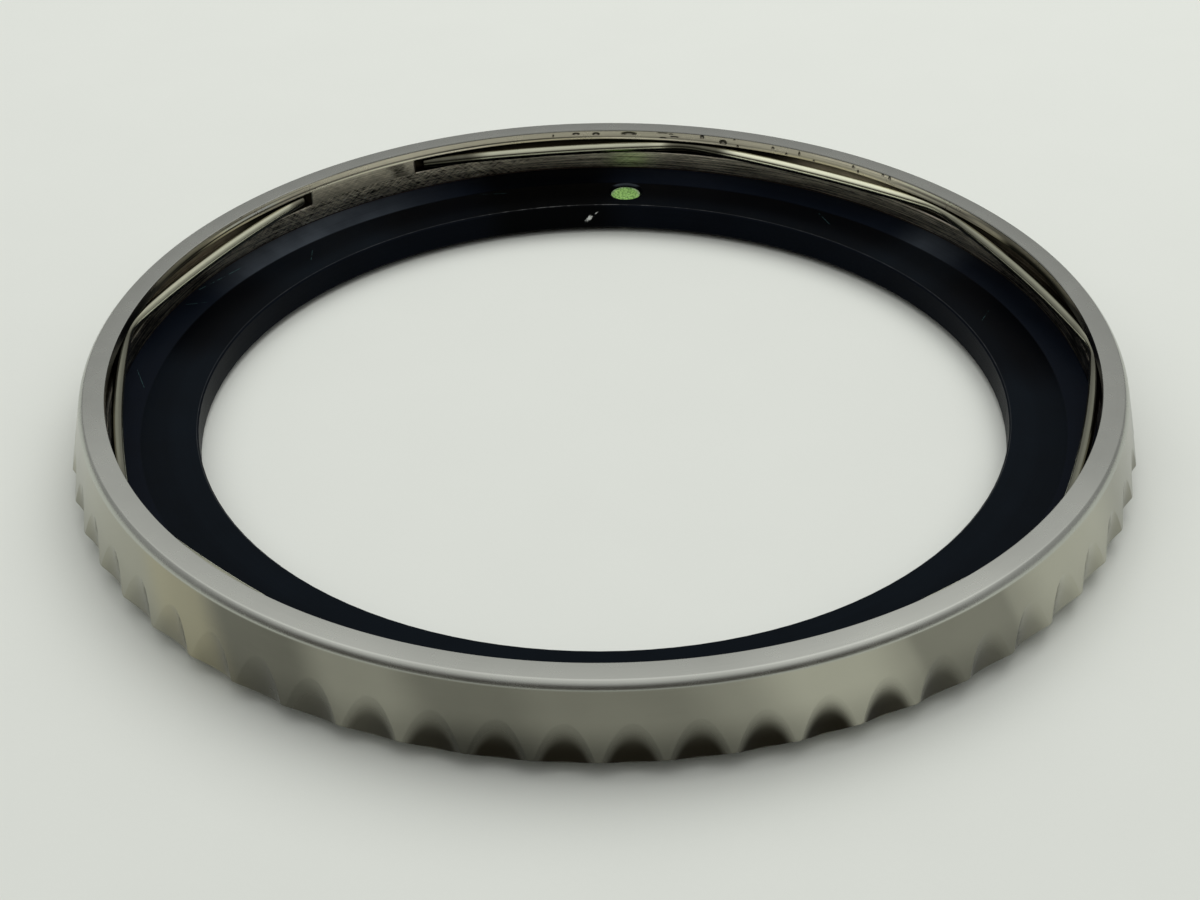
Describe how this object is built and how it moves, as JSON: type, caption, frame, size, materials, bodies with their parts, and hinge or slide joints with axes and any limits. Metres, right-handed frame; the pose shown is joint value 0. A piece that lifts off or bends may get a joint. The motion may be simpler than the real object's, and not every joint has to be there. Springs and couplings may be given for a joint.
{
  "type": "rotating watch bezel",
  "caption": "Rotating diver's watch bezel with a coin edge ring, a black minute-scale insert, a luminous pip and a polygonal wire retaining spring in its bore.",
  "frame": {"origin": "on the axis, in the plane of the rim that the bezel rests on with its dial side down", "axes": "+Z along the axis towards the watch case side; +Y from the axis towards the zero mark and its pip"},
  "size_m": [0.04, 0.04, 0.0035],
  "materials": {
    "ring_steel": "satin lip, polished flank, fine turned bore",
    "spring_wire": "bright drawn spring wire",
    "insert_black": "black anodised with a faint blue tint",
    "bond": "cured black adhesive",
    "collar_steel": "turned",
    "lume": "granular luminous paste",
    "lens": "clear, polished",
    "mark_fill": "filled, rubbed flush"
  },
  "bodies": {
    "bezel": {"bezel_ring": "ring_steel", "insert": "insert_black", "insert_bond": "bond", "pip_collar": "collar_steel", "pip_lume": "lume", "pip_lens": "lens", "zero_triangle": "mark_fill", "five_minute_bars": "mark_fill", "minute_ticks": "mark_fill", "numeral_10": "mark_fill", "numeral_20": "mark_fill", "numeral_30": "mark_fill", "numeral_40": "mark_fill", "numeral_50": "mark_fill"},
    "spring": {"retaining_spring": "spring_wire"}
  },
  "joints": [
    {"name": "spring_turn", "type": "hinge", "parent": "bezel", "child": "spring", "pos_m": [0, 0, 0.00275], "axis": [0, 0, 1], "range_deg": [-1.2, 1.2]}
  ]
}
